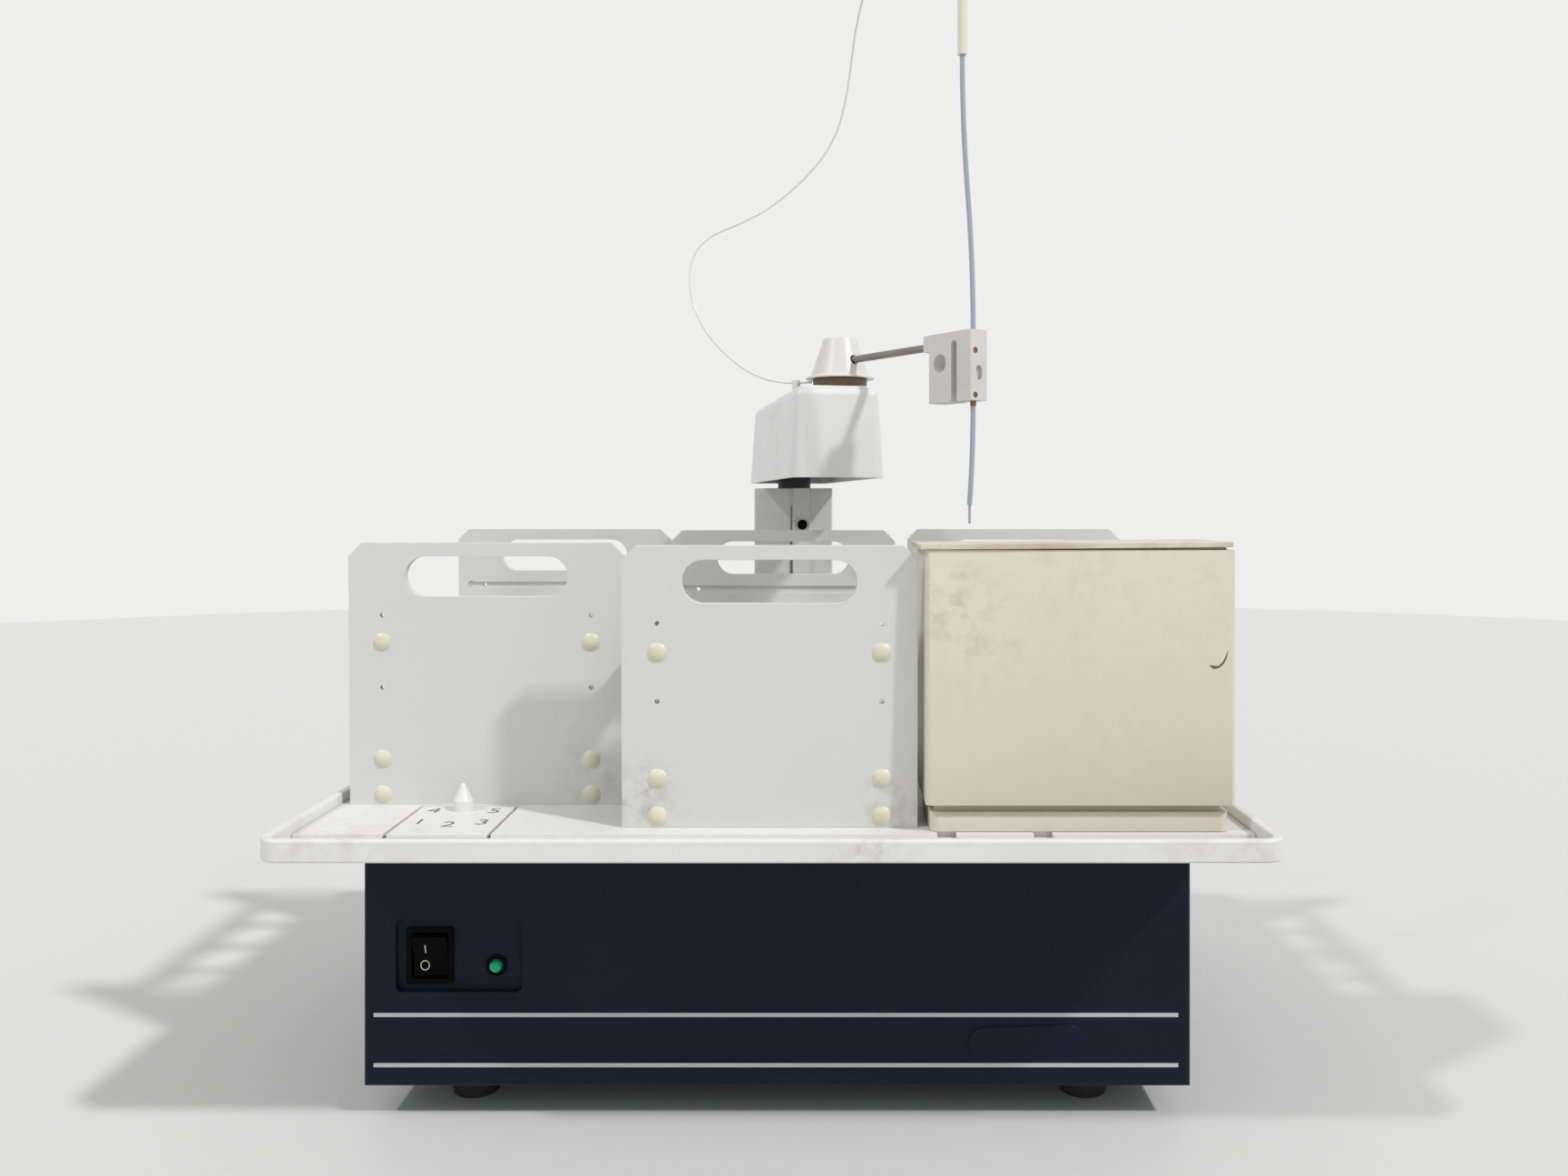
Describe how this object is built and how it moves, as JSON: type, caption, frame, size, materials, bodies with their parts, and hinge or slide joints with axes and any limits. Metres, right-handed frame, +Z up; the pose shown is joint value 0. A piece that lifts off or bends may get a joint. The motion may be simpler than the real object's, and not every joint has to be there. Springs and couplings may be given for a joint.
{
  "type": "laboratory autosampler",
  "caption": "Benchtop autosampler with a tray of sample racks, a travelling tower and a swinging head whose arm carries a long sampling probe; a rinse reservoir stands beside the racks.",
  "frame": {"origin": "centre of the overall box's plan, on the table", "axes": "+X to the right seen from the front, -Y towards the front, +Z up"},
  "size_m": [0.54, 0.43, 0.7446],
  "materials": {
    "navy_paint": "satin",
    "tray_plastic": "satin",
    "rack_plastic": "satin",
    "cap_cream": "gloss",
    "aged_beige": "satin",
    "lid_board": "matte",
    "column_grey": "satin",
    "head_white": "satin",
    "cone_white": "satin",
    "collar_brown": "matte",
    "nylon_white": "satin",
    "steel": "satin",
    "aluminium": "satin",
    "brass": "satin",
    "dark_mast": "satin",
    "holder_grey": "matte",
    "black_rubber": "matte",
    "black_plastic": "satin",
    "green_lens": "gloss",
    "probe_tube": "satin",
    "sleeve_cream": "satin",
    "capillary_clear": "gloss",
    "motor_black": "satin",
    "board_green": "satin"
  },
  "bodies": {
    "base": {"base_shell": "navy_paint", "front_panel": "navy_paint", "rear_panel": "navy_paint", "feet": "black_rubber", "switch_bezel": "black_plastic", "lamp_bezel": "black_plastic", "lamp_lens": "green_lens", "rear_sockets": "black_plastic", "power_supply": "steel", "control_board": "board_green", "rails": "steel", "x_motor": "motor_black", "tray_pan": "tray_plastic", "deck": "tray_plastic", "number_plate": "tray_plastic", "locating_peg": "nylon_white"},
    "rocker_switch": {"rocker": "black_plastic"},
    "travel_screw": {"x_screw": "steel"},
    "tower": {"carriage": "aluminium", "slide_bushes": "nylon_white", "tower_frame": "aluminium", "tower_cover": "column_grey", "tower_cap": "column_grey", "stop_bar": "column_grey", "knob_screw": "black_plastic", "z_motor": "motor_black"},
    "lift_screw": {"z_screw": "steel"},
    "mast": {"mast_tube": "dark_mast", "mast_nut": "brass", "mast_spindle": "steel"},
    "head": {"head_frame": "aluminium", "head_rear_cover": "head_white", "head_front_cover": "head_white", "head_bearings": "steel", "swing_motor": "motor_black", "arm_motor": "motor_black", "hub_collar": "collar_brown", "capillary_clip": "black_plastic", "capillary": "capillary_clear"},
    "first_gear": {"drive_gear": "nylon_white"},
    "middle_gear": {"idler_gear": "nylon_white"},
    "double_gear": {"compound_gear": "nylon_white"},
    "arm": {"hub_spindle": "steel", "cone_hub": "cone_white", "arm_rod": "steel", "probe_holder": "holder_grey", "clamp_screws": "brass", "probe": "probe_tube", "probe_sleeve": "sleeve_cream"},
    "reservoir": {"reservoir_tank": "aged_beige"},
    "lid": {"reservoir_lid": "lid_board"},
    "rack_left": {"rack_left_plates": "rack_plastic", "rack_left_shelves": "rack_plastic", "rack_left_caps": "cap_cream"},
    "rack_centre": {"rack_centre_plates": "rack_plastic", "rack_centre_shelves": "rack_plastic", "rack_centre_caps": "cap_cream"},
    "rack_right": {"rack_right_plates": "rack_plastic", "rack_right_shelves": "rack_plastic", "rack_right_caps": "cap_cream"}
  },
  "joints": [
    {"name": "rocker_press", "type": "hinge", "parent": "base", "child": "rocker_switch", "pos_m": [-0.2051, -0.1215, 0.0959], "axis": [1, 0, 0], "range_deg": [-20, 0]},
    {"name": "tower_travel", "type": "slide", "parent": "base", "child": "tower", "axis": [1, 0, 0], "range_m": [-0.203, 0.197]},
    {"name": "travel_screw_spin", "type": "hinge", "parent": "base", "child": "travel_screw", "pos_m": [0, 0.105, 0.077], "axis": [1, 0, 0], "range_deg": [-2930, 2845]},
    {"name": "mast_lift", "type": "slide", "parent": "tower", "child": "mast", "axis": [0, 0, 1], "range_m": [0, 0.15]},
    {"name": "lift_screw_spin", "type": "hinge", "parent": "tower", "child": "lift_screw", "pos_m": [0.003, 0.163, 0.2], "axis": [0, 0, 1], "range_deg": [-5, 2165]},
    {"name": "head_swing", "type": "hinge", "parent": "mast", "child": "head", "pos_m": [0.003, 0.163, 0.4], "axis": [0, 0, 1], "range_deg": [-55.5, 34.5]},
    {"name": "arm_turn", "type": "hinge", "parent": "head", "child": "arm", "pos_m": [0.03867, 0.02214, 0.45], "axis": [0, 0, 1], "range_deg": [-120, 55]},
    {"name": "double_gear_spin", "type": "hinge", "parent": "head", "child": "double_gear", "pos_m": [0.04908, 0.00851, 0.385], "axis": [0, 0, 1], "range_deg": [-60, 125]},
    {"name": "middle_gear_spin", "type": "hinge", "parent": "head", "child": "middle_gear", "pos_m": [0.03221, 0.00539, 0.385], "axis": [0, 0, 1], "range_deg": [-125, 60]},
    {"name": "first_gear_spin", "type": "hinge", "parent": "head", "child": "first_gear", "pos_m": [0.01535, 0.00226, 0.385], "axis": [0, 0, 1], "range_deg": [-60, 125]},
    {"name": "rack_left_lift", "type": "slide", "parent": "base", "child": "rack_left", "axis": [0, 0, 1], "range_m": [0, 0.15]},
    {"name": "rack_centre_lift", "type": "slide", "parent": "base", "child": "rack_centre", "axis": [0, 0, 1], "range_m": [0, 0.035]},
    {"name": "rack_right_lift", "type": "slide", "parent": "base", "child": "rack_right", "axis": [0, 0, 1], "range_m": [0, 0.06]},
    {"name": "reservoir_lift", "type": "slide", "parent": "base", "child": "reservoir", "axis": [0, 0, 1], "range_m": [0, 0.1]},
    {"name": "lid_lift", "type": "slide", "parent": "reservoir", "child": "lid", "axis": [0, 0, 1], "range_m": [0, 0.05]}
  ],
  "couplings": [
    {"joint": "travel_screw_spin", "follows": "tower_travel", "rad_per_m": 251.33},
    {"joint": "lift_screw_spin", "follows": "mast_lift", "rad_per_m": 251.33},
    {"joint": "double_gear_spin", "follows": "arm_turn", "ratio": -1},
    {"joint": "middle_gear_spin", "follows": "arm_turn", "ratio": 1},
    {"joint": "first_gear_spin", "follows": "arm_turn", "ratio": -1}
  ]
}
